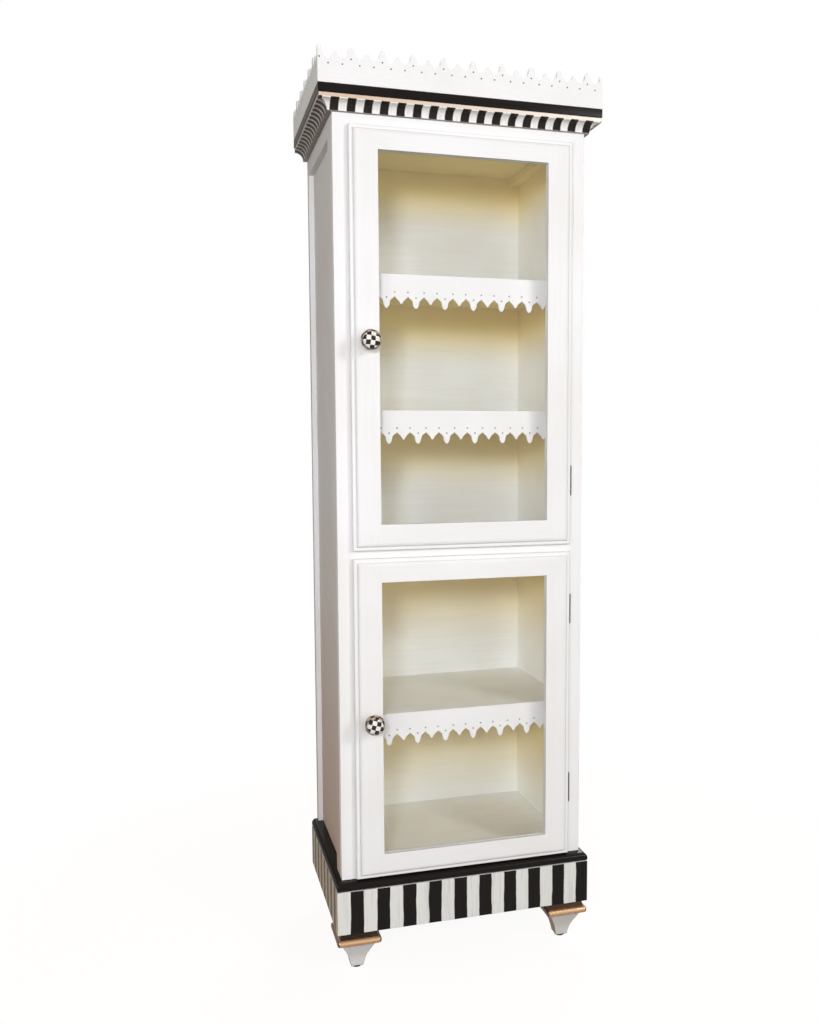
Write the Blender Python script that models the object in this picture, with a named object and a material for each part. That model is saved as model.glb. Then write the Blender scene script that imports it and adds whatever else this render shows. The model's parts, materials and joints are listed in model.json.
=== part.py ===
"""Tall painted curio cabinet with two glazed doors, a fretted crown and a striped plinth.

Blender 4.5 script. Lengths are in metres, +Z is up, the front faces -Y and the centre of the floor
under the cabinet's box is the origin. Run it with blender --background --python part.py.
"""

import math

import bmesh
import bpy
from mathutils import Matrix, Vector

# Stock and clearances
GAP = 0.0003
BOARD = 0.0190
PANEL = 0.0095
HOUSING = 0.0030

# Carcase
BODY_WIDTH = 0.5810
BODY_DEPTH = 0.3765
BODY_HEIGHT = 1.7189
FACE_FRAME = 0.0195
FACE_STILE = 0.0570
FACE_TOP_RAIL = 0.0560
FACE_MID_RAIL = 0.0640
FACE_BOTTOM_RAIL = 0.0440
SIDE_FRAME = 0.0130
SIDE_FRONT_STILE = 0.0445
SIDE_REAR_STILE = 0.0200
SIDE_TOP_RAIL = 0.0380
BACK_PANEL = 0.0060
BACK_INSET = 0.0055
TOP_PANEL_DROP = 0.0378
CLEAT = 0.0250
FLOOR_RISE = 0.0016
DECK_ABOVE_DOOR = 0.0005
SHELF_1_SHARE = 0.6546
SHELF_2_SHARE = 0.3327
SHELF_3_SHARE = 0.4916
TRIM_SETBACK = 0.0020

# Cornice
CORNICE_SIDE = 0.0330
CORNICE_FRONT = 0.0265
FILLET_STEP = 0.0020
FILLET_HEIGHT = 0.0097
COVE_LIP_SIDE = 0.0105
COVE_LIP_HEIGHT = 0.0018
COVE_HEIGHT = 0.0186
COVE_STEPS = 8

# Fretwork, one stock for the crown and for the shelf trims
FRET_THICKNESS = 0.0060
FRET_PITCH = 0.0672
FRET_BACK = 0.0480
TALL_TOOTH = 0.0262
SMALL_TOOTH = 0.0172
TALL_TOOTH_SHARE = 0.5500
CROWN_FIRST_TOOTH = 0.0039
TRIM_1_PHASE = -0.0359
TRIM_2_PHASE = -0.0330
TRIM_3_PHASE = -0.0384
TALL_OUTLINE_SHARES = (
    (0.00, 1.00), (0.15, 0.95), (0.28, 0.82), (0.36, 0.66), (0.40, 0.46),
    (0.47, 0.34), (0.62, 0.23), (0.86, 0.11), (1.00, 0.00),
)
SMALL_OUTLINE_SHARES = (
    (0.00, 1.00), (0.17, 0.88), (0.27, 0.68), (0.43, 0.49), (0.64, 0.32), (0.88, 0.15), (1.00, 0.00),
)

# Plinth
PLINTH_SIDE = 0.0145
PLINTH_FRONT = 0.0205
PLINTH_HEIGHT = 0.0995
CORNER_BLOCK = 0.0600
NOSING_TOP_RADIUS = 0.0110
NOSING_LOW_RADIUS = 0.0050
NOSING_STEPS = 5

# Feet
FOOT_PLATE = 0.1020
FOOT_PLATE_THICKNESS = 0.0158
FOOT_PLATE_ROUND = 0.0062
FOOT_NECK = 0.0840
FOOT_NECK_HEIGHT = 0.0153
FOOT_CORNER = 0.0045
REAR_FOOT_INSET = 0.0120
LEG_WIDTH = 0.0800
LEG_HEIGHT = 0.0648
LEG_CORNER = 0.0015
GLIDE_DIAMETER = 0.0240
GLIDE_HEIGHT = 0.0045
NECK_SHARES = ((0.00, 0.00), (0.45, 0.20), (0.75, 0.52), (0.93, 0.86), (1.00, 1.00))
LEG_SHARES = (
    (0.00, 0.350), (0.03, 0.375), (0.15, 0.410), (0.26, 0.450), (0.39, 0.510), (0.50, 0.585), (0.61, 0.670),
    (0.72, 0.765), (0.85, 0.870), (1.00, 1.000),
)
CORNER_STEPS = 2

# Doors
DOOR_MARGIN = 0.0329
DOOR_FLOOR_CLEARANCE = 0.0028
DOOR_SPACING = 0.0176
DOOR_TOP_MARGIN = 0.0239
LOWER_DOOR_HEIGHT = 0.7302
DOOR_THICKNESS = 0.0176
DOOR_STANDOFF = 0.0029
DOOR_STILE = 0.0620
UPPER_TOP_RAIL = 0.0520
UPPER_BOTTOM_RAIL = 0.0580
LOWER_TOP_RAIL = 0.0532
LOWER_BOTTOM_RAIL = 0.0554
REBATE = 0.0080
GLASS = 0.0030
DOOR_EDGE = 0.0175
DOOR_EDGE_SHARES = (
    (0.00, 0.40), (0.04, 0.49), (0.12, 0.54), (0.48, 0.54), (0.50, 0.72), (0.56, 0.82), (0.68, 0.91),
    (0.84, 0.97), (1.00, 1.00),
)

# Knobs
KNOB_DIAMETER = 0.0450
KNOB_LENGTH = 0.0360
KNOB_INSET = 0.0370
FERRULE_DIAMETER = 0.0280
FERRULE_LENGTH = 0.0080
KNOB_SHARES = (
    (0.00, 0.00), (0.30, 0.00), (0.34, 0.04), (0.44, 0.14), (0.72, 0.22), (0.90, 0.34), (0.985, 0.48),
    (1.00, 0.58), (0.96, 0.71), (0.84, 0.83), (0.66, 0.92), (0.44, 0.975), (0.22, 0.995), (0.00, 1.00),
)
FERRULE_SHARES = ((0.00, 0.00), (1.00, 0.00), (1.00, 0.35), (0.86, 0.60), (0.72, 0.75), (0.70, 1.00), (0.00, 1.00))
ROUND_STEPS = 28

# Hinges
HINGE_LENGTH = 0.0700
HINGE_LEAF = 0.0270
HINGE_THICKNESS = 0.0010
HINGE_BARREL = 0.0055
HINGE_PIN = 0.0024
UPPER_HINGE_INSETS = (0.1485, 0.1485)
LOWER_HINGE_INSETS = (0.1600, 0.1370)
KNUCKLES = 5
BARREL_STEPS = 12

# Catches
CATCH_WIDTH = 0.0200
CATCH_DEPTH = 0.0140
CATCH_HEIGHT = 0.0420
STRIKE_WIDTH = 0.0120
STRIKE_HEIGHT = 0.0260
STRIKE_THICKNESS = 0.0012

# Levels and planes that follow from the sizes above
HALF = BODY_WIDTH / 2
Z_LEG = GLIDE_HEIGHT + GAP
Z_FOOT = Z_LEG + LEG_HEIGHT + GAP
FOOT_CAP_HEIGHT = FOOT_PLATE_THICKNESS + FOOT_NECK_HEIGHT
Z_PLINTH = Z_FOOT + FOOT_CAP_HEIGHT + GAP
Z_LEDGE = Z_PLINTH + PLINTH_HEIGHT + GAP
Z_BODY = Z_LEDGE + BOARD + GAP
Z_BODY_TOP = Z_BODY + BODY_HEIGHT
Z_CAP = Z_BODY_TOP + GAP
Z_CROWN = Z_CAP + BOARD + GAP
MOULDING_HEIGHT = FILLET_HEIGHT + COVE_HEIGHT + COVE_LIP_HEIGHT
Z_SOFFIT = Z_BODY_TOP - MOULDING_HEIGHT
SIDE_SHIFT = CORNICE_SIDE - CORNICE_FRONT
PANEL_OUTER = HALF - SIDE_FRAME - GAP
INNER_HALF = PANEL_OUTER - PANEL
BACK_FACE = BODY_DEPTH - BACK_INSET - BACK_PANEL
DOOR_HALF = HALF - DOOR_MARGIN
DOOR_BACK = -DOOR_STANDOFF
DOOR_FRONT = DOOR_BACK - DOOR_THICKNESS
Z_LOWER_DOOR = Z_BODY + DOOR_FLOOR_CLEARANCE
Z_LOWER_DOOR_TOP = Z_LOWER_DOOR + LOWER_DOOR_HEIGHT
Z_UPPER_DOOR = Z_LOWER_DOOR_TOP + DOOR_SPACING
Z_UPPER_DOOR_TOP = Z_SOFFIT - DOOR_TOP_MARGIN
DECK_TOP = Z_UPPER_DOOR + DECK_ABOVE_DOOR
FLOOR_TOP = Z_BODY + FLOOR_RISE + BOARD
CEILING = Z_BODY_TOP - TOP_PANEL_DROP
TRIM_FACE = FACE_FRAME + TRIM_SETBACK
SHELF_FRONT = TRIM_FACE + FRET_THICKNESS + GAP
SHELF_1_TOP = DECK_TOP + (CEILING - DECK_TOP) * SHELF_1_SHARE
SHELF_2_TOP = DECK_TOP + (CEILING - DECK_TOP) * SHELF_2_SHARE
SHELF_3_TOP = FLOOR_TOP + (DECK_TOP - BOARD - FLOOR_TOP) * SHELF_3_SHARE
HINGE_X = DOOR_HALF + HINGE_BARREL / 2 + GAP
HINGE_Y = -HINGE_BARREL / 2 - GAP
KNOB_FRONT = DOOR_FRONT - FERRULE_LENGTH - KNOB_LENGTH - 2 * GAP
CENTRING = Vector((0, -(KNOB_FRONT + BODY_DEPTH) / 2, 0))

# Paints and other materials: colour, roughness and metallic value
MATERIALS = {
    "white_paint": ((0.86, 0.86, 0.85), 0.30, 0.0),
    "cream_paint": ((0.80, 0.77, 0.67), 0.45, 0.0),
    "black_gloss": ((0.010, 0.010, 0.010), 0.12, 0.0),
    "striped_paint": ((0.42, 0.42, 0.40), 0.22, 0.0),
    "gold_paint": ((0.62, 0.38, 0.17), 0.32, 0.85),
    "clear_glass": ((0.92, 0.96, 0.95), 0.02, 0.0),
    "glazed_ceramic": ((0.40, 0.40, 0.39), 0.10, 0.0),
    "brass": ((0.60, 0.42, 0.18), 0.28, 1.0),
    "dark_steel": ((0.09, 0.085, 0.08), 0.40, 1.0),
    "dark_plastic": ((0.02, 0.02, 0.02), 0.50, 0.0),
}


def clear_scene():
    for obj in list(bpy.data.objects):
        bpy.data.objects.remove(obj, do_unlink=True)


def material(name):
    found = bpy.data.materials.get(name)
    if found:
        return found
    colour, roughness, metallic = MATERIALS[name]
    made = bpy.data.materials.new(name)
    made.use_nodes = True
    shader = made.node_tree.nodes["Principled BSDF"]
    shader.inputs["Base Color"].default_value = (*colour, 1.0)
    shader.inputs["Roughness"].default_value = roughness
    shader.inputs["Metallic"].default_value = metallic
    made.diffuse_color = (*colour, 1.0)
    return made


def place(name, bm, paint, axis=None, smooth=False):
    """Turns a bmesh drawn from the cabinet's face into a named object in the centred frame.

    axis is the empty that a moving piece hangs from.
    """
    origin = axis.location if axis else Vector()
    bmesh.ops.translate(bm, vec=CENTRING - origin, verts=bm.verts)
    bmesh.ops.recalc_face_normals(bm, faces=bm.faces)
    mesh = bpy.data.meshes.new(name)
    bm.to_mesh(mesh)
    bm.free()
    mesh.materials.append(material(paint))
    if smooth:
        mesh.shade_smooth()
        mesh.set_sharp_from_angle(angle=math.radians(40))
    obj = bpy.data.objects.new(name, mesh)
    bpy.context.scene.collection.objects.link(obj)
    obj.parent = axis
    return obj


def cuboid(x, y, z):
    """A bmesh block between the limits of x, y and z."""
    bm = bmesh.new()
    size = Vector((x[1] - x[0], y[1] - y[0], z[1] - z[0]))
    centre = Vector((x[0] + x[1], y[0] + y[1], z[0] + z[1])) / 2
    bmesh.ops.create_cube(bm, size=1.0, matrix=Matrix.Translation(centre) @ Matrix.Diagonal((*size, 1.0)))
    return bm


def box(name, x, y, z, paint, axis=None):
    """A board between the limits of x, y and z."""
    return place(name, cuboid(x, y, z), paint, axis)


def extruded(points, shift):
    """A bmesh of the polygon through points, extruded by the vector shift."""
    bm = bmesh.new()
    face = bm.faces.new([bm.verts.new(point) for point in points])
    region = bmesh.ops.extrude_face_region(bm, geom=[face])
    moved = [item for item in region["geom"] if isinstance(item, bmesh.types.BMVert)]
    bmesh.ops.translate(bm, vec=shift, verts=moved)
    return bm


def plate(name, lines_a, lines_b, holes, to_point, shift, paint):
    """A flat plate on a grid of lines, without the cells named in holes, extruded by the vector shift."""
    bm = bmesh.new()
    verts = {}
    for i, a in enumerate(lines_a):
        for j, b in enumerate(lines_b):
            verts[i, j] = bm.verts.new(to_point(a, b))
    for i in range(len(lines_a) - 1):
        for j in range(len(lines_b) - 1):
            if (i, j) not in holes:
                bm.faces.new([verts[i, j], verts[i + 1, j], verts[i + 1, j + 1], verts[i, j + 1]])
    bmesh.ops.delete(bm, geom=[vert for vert in bm.verts if not vert.link_faces], context="VERTS")
    region = bmesh.ops.extrude_face_region(bm, geom=list(bm.faces))
    moved = [item for item in region["geom"] if isinstance(item, bmesh.types.BMVert)]
    bmesh.ops.translate(bm, vec=shift, verts=moved)
    bmesh.ops.dissolve_limit(bm, angle_limit=math.radians(1), verts=bm.verts, edges=bm.edges)
    return place(name, bm, paint)


def loft(rings, ring_closed=False, stepped=False):
    """A bmesh through rings of points, capped at its ends, or joined end to end when ring_closed is set.

    A stepped end bends on the line between the ring's second point and its last but one.
    """
    bm = bmesh.new()
    loops = [[bm.verts.new(point) for point in ring] for ring in rings]
    pairs = list(zip(loops, loops[1:]))
    if ring_closed:
        pairs.append((loops[-1], loops[0]))
    for end in () if ring_closed else (loops[0], loops[-1]):
        if stepped:
            bm.faces.new(end[:2] + end[-2:])
            bm.faces.new(end[1:-1])
        else:
            bm.faces.new(end)
    for low, high in pairs:
        for i in range(len(low)):
            j = (i + 1) % len(low)
            bm.faces.new([low[i], low[j], high[j], high[i]])
    return bm


def rounded_square(half, corner, centre, z):
    """Points around a square with rounded corners."""
    points = []
    for turn in range(4):
        middle = math.radians(45 + 90 * turn)
        corner_x = math.copysign(half - corner, math.cos(middle))
        corner_y = math.copysign(half - corner, math.sin(middle))
        for step in range(CORNER_STEPS + 1):
            angle = middle + math.radians(90) * (step / CORNER_STEPS - 1 / 2)
            x = centre[0] + corner_x + corner * math.cos(angle)
            y = centre[1] + corner_y + corner * math.sin(angle)
            points.append((x, y, z))
    return points


def turned(radius, length, shares, origin, steps=ROUND_STEPS):
    """A bmesh spun about the -Y axis through origin, from shares of its radius and length."""
    bm = bmesh.new()
    start = Vector(origin)
    verts = [bm.verts.new(start + Vector((radius * r, -length * t, 0))) for r, t in shares]
    edges = [bm.edges.new(pair) for pair in zip(verts, verts[1:])]
    bmesh.ops.spin(
        bm, geom=verts + edges, cent=start, axis=(0, 1, 0), dvec=(0, 0, 0), angle=math.radians(360),
        steps=steps, use_merge=True, use_duplicate=False,
    )
    bmesh.ops.remove_doubles(bm, verts=bm.verts, dist=GAP / 10)
    return bm


def fret_edge(first, start, end):
    """Points along the cut edge from start to end, where first is the axis of any tall tooth."""
    tall = FRET_PITCH * TALL_TOOTH_SHARE / 2
    small = FRET_PITCH / 2 - tall
    period = []
    for share, height in TALL_OUTLINE_SHARES:
        period.append((share * tall, height * TALL_TOOTH))
    for share, height in reversed(SMALL_OUTLINE_SHARES[:-1]):
        period.append((FRET_PITCH / 2 - share * small, height * SMALL_TOOTH))
    mirrored = [(FRET_PITCH - along, height) for along, height in reversed(period[1:-1])]
    period += mirrored
    whole = []
    turns = range(math.floor((start - first) / FRET_PITCH) - 1, math.ceil((end - first) / FRET_PITCH) + 2)
    for turn in turns:
        whole += [(first + turn * FRET_PITCH + along, height) for along, height in period]
    inside = [(along, height) for along, height in whole if start + GAP < along < end - GAP]
    return [(start, height_at(whole, start))] + inside + [(end, height_at(whole, end))]


def height_at(edge, along):
    """The height of a piecewise straight edge at one place along it."""
    for (low, low_height), (high, high_height) in zip(edge, edge[1:]):
        if low <= along <= high:
            return low_height + (high_height - low_height) * (along - low) / (high - low)
    raise ValueError("place outside the edge")


def fret(name, first, start, end, to_point, shift):
    """A fretted board: a straight back edge and a row of ogee-cut teeth."""
    teeth = [(along, FRET_BACK + height) for along, height in fret_edge(first, start, end)]
    outline = [(start, 0)] + teeth + [(end, 0)]
    return place(name, extruded([to_point(a, h) for a, h in outline], shift), "white_paint")


def build_carcase():
    """Face frame, framed sides, back, decks and shelves with their trims."""
    inner = HALF - FACE_STILE
    mid = (Z_LOWER_DOOR_TOP + Z_UPPER_DOOR) / 2
    plate(
        "face_frame", (-HALF, -inner, inner, HALF),
        (
            Z_BODY, Z_BODY + FACE_BOTTOM_RAIL, mid - FACE_MID_RAIL / 2, mid + FACE_MID_RAIL / 2,
            Z_SOFFIT - FACE_TOP_RAIL, Z_BODY_TOP,
        ),
        {(1, 1), (1, 3)}, lambda a, b: (a, 0, b), (0, FACE_FRAME, 0), "white_paint",
    )
    boards = {
        "shelf_1": (SHELF_FRONT, SHELF_1_TOP),
        "shelf_2": (SHELF_FRONT, SHELF_2_TOP),
        "shelf_3": (SHELF_FRONT, SHELF_3_TOP),
        "mid_deck": (FACE_FRAME + GAP, DECK_TOP),
        "floor_panel": (FACE_FRAME + GAP, FLOOR_TOP),
        "top_panel": (FACE_FRAME + GAP, CEILING + BOARD),
    }
    reach = INNER_HALF + HOUSING
    for name, (front, top) in boards.items():
        paint = "cream_paint"
        box(name, (-reach + GAP, reach - GAP), (front, BACK_FACE - GAP), (top - BOARD, top), paint)
    for side, hand in (("left", -1), ("right", 1)):
        plate(
            "side_frame_" + side,
            (FACE_FRAME + GAP, FACE_FRAME + GAP + SIDE_FRONT_STILE, BODY_DEPTH - SIDE_REAR_STILE, BODY_DEPTH),
            (Z_BODY, Z_SOFFIT - SIDE_TOP_RAIL, Z_BODY_TOP), {(1, 0)},
            lambda a, b, s=hand: (s * HALF, a, b), (-hand * SIDE_FRAME, 0, 0), "white_paint",
        )
        side_panel("side_panel_" + side, hand, [top for front, top in boards.values()])
        cleat = sorted((hand * (INNER_HALF - GAP), hand * (INNER_HALF - GAP - CLEAT)))
        box(
            "top_cleat_" + side, cleat, (FACE_FRAME + GAP, BACK_FACE - GAP),
            (CEILING - GAP - BOARD, CEILING - GAP), "cream_paint",
        )
    box(
        "back_panel", (-INNER_HALF + GAP, INNER_HALF - GAP), (BACK_FACE, BACK_FACE + BACK_PANEL),
        (Z_BODY, Z_BODY_TOP), "cream_paint",
    )
    end = INNER_HALF - GAP
    trims = (("shelf_trim_1", SHELF_1_TOP, TRIM_1_PHASE), ("shelf_trim_2", SHELF_2_TOP, TRIM_2_PHASE),
             ("shelf_trim_3", SHELF_3_TOP, TRIM_3_PHASE))
    for name, top, phase in trims:
        fret(name, phase, -end, end, lambda a, h, t=top: (a, TRIM_FACE, t - h), (0, FRET_THICKNESS, 0))


def side_panel(name, hand, tops):
    """A thin side panel with a housing across its inner face for each board end."""
    inner = hand * INNER_HALF
    outer = hand * PANEL_OUTER
    deep = hand * (INNER_HALF + HOUSING)
    outline = [(outer, Z_BODY_TOP), (outer, Z_BODY), (inner, Z_BODY)]
    for top in sorted(tops):
        low = top - BOARD - GAP
        high = top + GAP
        outline += [(inner, low), (deep, low), (deep, high), (inner, high)]
    outline.append((inner, Z_BODY_TOP))
    front = FACE_FRAME + GAP
    bm = extruded([(x, front, z) for x, z in outline], (0, BODY_DEPTH - front, 0))
    place(name, bm, "white_paint")


def moulding_section(lip, top):
    """A moulding's section as (outward, height): a flat soffit as wide as lip, a cove and a fillet."""
    points = [(GAP, 0), (lip, 0)]
    for step in range(COVE_STEPS + 1):
        angle = math.radians(90) * step / COVE_STEPS
        outward = top - (top - lip) * math.cos(angle)
        points.append((outward, COVE_LIP_HEIGHT + COVE_HEIGHT * math.sin(angle)))
    return points + [(top, MOULDING_HEIGHT), (GAP, MOULDING_HEIGHT)]


def build_cornice():
    """Mitred cove mouldings, the black top board and the fretted crown."""
    top = CORNICE_SIDE - FILLET_STEP
    mitre = GAP / math.sqrt(2)
    rings = []
    for hand in (-1, 1):
        ring = []
        for out, height in moulding_section(COVE_LIP_SIDE - SIDE_SHIFT, top - SIDE_SHIFT):
            ring.append((hand * (HALF + SIDE_SHIFT + out - mitre), -out, Z_SOFFIT + height))
        rings.append(ring)
    place("cornice_moulding_front", loft(rings), "striped_paint")
    section = moulding_section(COVE_LIP_SIDE, top)
    section.insert(1, (SIDE_SHIFT + mitre, 0))
    section.insert(-1, (SIDE_SHIFT + mitre, MOULDING_HEIGHT))
    for side, hand in (("left", -1), ("right", 1)):
        rings = []
        for back in (False, True):
            ring = []
            for out, height in section:
                front = min(SIDE_SHIFT + mitre - out, 0)
                ring.append((hand * (HALF + out), BODY_DEPTH if back else front, Z_SOFFIT + height))
            rings.append(ring)
        place("cornice_moulding_" + side, loft(rings, stepped=True), "striped_paint")
    wide = HALF + CORNICE_SIDE
    box("cornice_board", (-wide, wide), (-CORNICE_FRONT, BODY_DEPTH), (Z_CAP, Z_CAP + BOARD), "black_gloss")
    first = -wide + CROWN_FIRST_TOOTH
    fret(
        "crown_fret_front", first, -wide, wide, lambda a, h: (a, -CORNICE_FRONT, Z_CROWN + h),
        (0, FRET_THICKNESS, 0),
    )
    start = -CORNICE_FRONT + FRET_THICKNESS + GAP
    first = -CORNICE_FRONT + CROWN_FIRST_TOOTH
    for side, hand in (("left", -1), ("right", 1)):
        fret(
            "crown_fret_" + side, first, start, BODY_DEPTH,
            lambda a, h, s=hand: (s * wide, a, Z_CROWN + h), (-hand * FRET_THICKNESS, 0, 0),
        )


def build_plinth():
    """A glued frame of four striped boards with corner blocks, under a nosed top board."""
    wide = HALF + PLINTH_SIDE
    inner = wide - BOARD
    block = inner - CORNER_BLOCK
    front = -PLINTH_FRONT + BOARD
    back = BODY_DEPTH - BOARD
    plate(
        "plinth_frame", (-wide, -inner, -block, block, inner, wide),
        (-PLINTH_FRONT, front, front + CORNER_BLOCK, back - CORNER_BLOCK, back, BODY_DEPTH),
        {(1, 2), (2, 1), (2, 2), (2, 3), (3, 2)}, lambda a, b: (a, b, Z_PLINTH), (0, 0, PLINTH_HEIGHT),
        "striped_paint",
    )
    levels = []
    for step in range(NOSING_STEPS + 1):
        angle = math.radians(90) * step / NOSING_STEPS
        levels.append((NOSING_LOW_RADIUS * (1 - math.sin(angle)), NOSING_LOW_RADIUS * (1 - math.cos(angle))))
    for step in range(NOSING_STEPS + 1):
        angle = math.radians(90) * step / NOSING_STEPS
        rise = BOARD - NOSING_TOP_RADIUS + NOSING_TOP_RADIUS * math.sin(angle)
        levels.append((NOSING_TOP_RADIUS * (1 - math.cos(angle)), rise))
    rings = []
    for inset, rise in levels:
        x, y, level = wide - inset, -PLINTH_FRONT + inset, Z_LEDGE + rise
        rings.append([(-x, y, level), (x, y, level), (x, BODY_DEPTH, level), (-x, BODY_DEPTH, level)])
    place("plinth_top", loft(rings), "black_gloss", smooth=True)


def build_feet():
    """Four feet: a gold cap with a coved neck, a tapered leg and a glide."""
    reach_x = HALF + PLINTH_SIDE - FOOT_PLATE / 2
    rear_x = reach_x - REAR_FOOT_INSET
    front = -PLINTH_FRONT + FOOT_PLATE / 2
    back = BODY_DEPTH - FOOT_PLATE / 2
    half = FOOT_PLATE / 2
    neck = FOOT_NECK / 2
    corners = {
        "front_left": (-reach_x, front), "front_right": (reach_x, front),
        "rear_left": (-rear_x, back), "rear_right": (rear_x, back),
    }
    for name, centre in corners.items():
        rings = []
        for low in (True, False):
            middle = Z_FOOT + (FOOT_PLATE_ROUND if low else FOOT_PLATE_THICKNESS - FOOT_PLATE_ROUND)
            for step in range(NOSING_STEPS):
                angle = math.radians(90) * step / (NOSING_STEPS - 1)
                turn = math.cos(angle) if low else math.sin(angle)
                inset = FOOT_PLATE_ROUND * (1 - (math.sin(angle) if low else math.cos(angle)))
                z = middle + (-turn if low else turn) * FOOT_PLATE_ROUND
                rings.append(rounded_square(half - inset, FOOT_CORNER, centre, z))
        for drop, out in reversed(NECK_SHARES):
            wide = neck + (half - FOOT_PLATE_ROUND - neck) * out
            z = Z_FOOT + FOOT_CAP_HEIGHT - FOOT_NECK_HEIGHT * drop
            if drop < 1:
                rings.append(rounded_square(wide, FOOT_CORNER, centre, z))
        place("foot_cap_" + name, loft(rings), "gold_paint", smooth=True)
        rings = []
        for rise, share in LEG_SHARES:
            rings.append(rounded_square(LEG_WIDTH / 2 * share, LEG_CORNER, centre, Z_LEG + LEG_HEIGHT * rise))
        place("foot_leg_" + name, loft(rings), "white_paint", smooth=True)
        bm = bmesh.new()
        bmesh.ops.create_cone(
            bm, cap_ends=True, segments=ROUND_STEPS, radius1=GLIDE_DIAMETER / 2, radius2=GLIDE_DIAMETER / 2,
            depth=GLIDE_HEIGHT, matrix=Matrix.Translation((*centre, GLIDE_HEIGHT / 2)),
        )
        place("foot_glide_" + name, bm, "dark_plastic", smooth=True)


def door_ring(half, low, high, y):
    return [(-half, y, low), (half, y, low), (half, y, high), (-half, y, high)]


def build_door(name, low, high, bottom_rail, top_rail, axis):
    """A moulded door frame with its glass, glass beads, knob, ferrule and catch strike."""
    opening_half = DOOR_HALF - DOOR_STILE
    opening = (low + bottom_rail, high - top_rail)
    rings = [door_ring(DOOR_HALF, low, high, DOOR_BACK)]
    for inward, forward in DOOR_EDGE_SHARES:
        inset = DOOR_EDGE * inward
        y = DOOR_BACK - DOOR_THICKNESS * forward
        rings.append(door_ring(DOOR_HALF - inset, low + inset, high - inset, y))
    rings.append(door_ring(opening_half, *opening, DOOR_FRONT))
    rings.append(door_ring(opening_half, *opening, DOOR_BACK - REBATE))
    groove = opening_half + REBATE
    glass = (opening[0] - REBATE, opening[1] + REBATE)
    rings.append(door_ring(groove, *glass, DOOR_BACK - REBATE))
    rings.append(door_ring(groove, *glass, DOOR_BACK))
    place(name + "_door_frame", loft(rings, ring_closed=True), "white_paint", axis)
    face = DOOR_BACK - REBATE + GAP
    x = (-groove + GAP, groove - GAP)
    z = (glass[0] + GAP, glass[1] - GAP)
    box(name + "_door_glass", x, (face, face + GLASS), z, "clear_glass", axis)
    bead = face + GLASS + GAP
    outer = (groove - GAP, glass[0] + GAP, glass[1] - GAP)
    rings = [
        door_ring(*outer, bead), door_ring(opening_half, *opening, bead),
        door_ring(opening_half, *opening, DOOR_BACK), door_ring(*outer, DOOR_BACK),
    ]
    place(name + "_glass_bead", loft(rings, ring_closed=True), "white_paint", axis)
    middle = (low + high) / 2
    centre = (-DOOR_HALF + KNOB_INSET, DOOR_FRONT - GAP, middle)
    ferrule = turned(FERRULE_DIAMETER / 2, FERRULE_LENGTH, FERRULE_SHARES, centre)
    place(name + "_knob_ferrule", ferrule, "brass", axis, smooth=True)
    ahead = (centre[0], centre[1] - FERRULE_LENGTH - GAP, middle)
    knob = turned(KNOB_DIAMETER / 2, KNOB_LENGTH, KNOB_SHARES, ahead)
    place(name + "_knob", knob, "glazed_ceramic", axis, smooth=True)
    strike_x = -HALF + FACE_STILE + GAP
    box(
        name + "_catch_strike", (strike_x, strike_x + STRIKE_WIDTH),
        (DOOR_BACK + GAP, DOOR_BACK + GAP + STRIKE_THICKNESS),
        (middle - STRIKE_HEIGHT / 2, middle + STRIKE_HEIGHT / 2), "dark_steel", axis,
    )
    box(
        name + "_catch_magnet", (strike_x, strike_x + CATCH_WIDTH), (0, CATCH_DEPTH),
        (middle - CATCH_HEIGHT / 2, middle + CATCH_HEIGHT / 2), "dark_plastic",
    )


def barrel(low, high, radius, bore):
    """A knuckle of a hinge on the door's axis, bored when bore is above zero."""
    points = []
    for step in range(BARREL_STEPS):
        angle = math.radians(360) * step / BARREL_STEPS
        points.append((math.cos(angle), math.sin(angle)))
    sections = [(radius, low), (radius, high)]
    if bore > 0:
        sections += [(bore, high), (bore, low)]
    rings = [[(HINGE_X + r * x, HINGE_Y + r * y, z) for x, y in points] for r, z in sections]
    return loft(rings, ring_closed=bore > 0)


def union(obj, bm):
    """Joins a bmesh, drawn from the cabinet's face, to an object with an exact Boolean."""
    bmesh.ops.translate(bm, vec=CENTRING, verts=bm.verts)
    mesh = bpy.data.meshes.new("joined_piece")
    bmesh.ops.recalc_face_normals(bm, faces=bm.faces)
    bm.to_mesh(mesh)
    bm.free()
    other = bpy.data.objects.new("joined_piece", mesh)
    bpy.context.scene.collection.objects.link(other)
    step = obj.modifiers.new("join", "BOOLEAN")
    step.operation = "UNION"
    step.solver = "EXACT"
    step.object = other
    bpy.context.view_layer.update()
    evaluated = obj.evaluated_get(bpy.context.evaluated_depsgraph_get())
    result = bpy.data.meshes.new_from_object(evaluated)
    obj.modifiers.remove(step)
    obj.data = result
    bpy.data.objects.remove(other, do_unlink=True)


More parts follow.
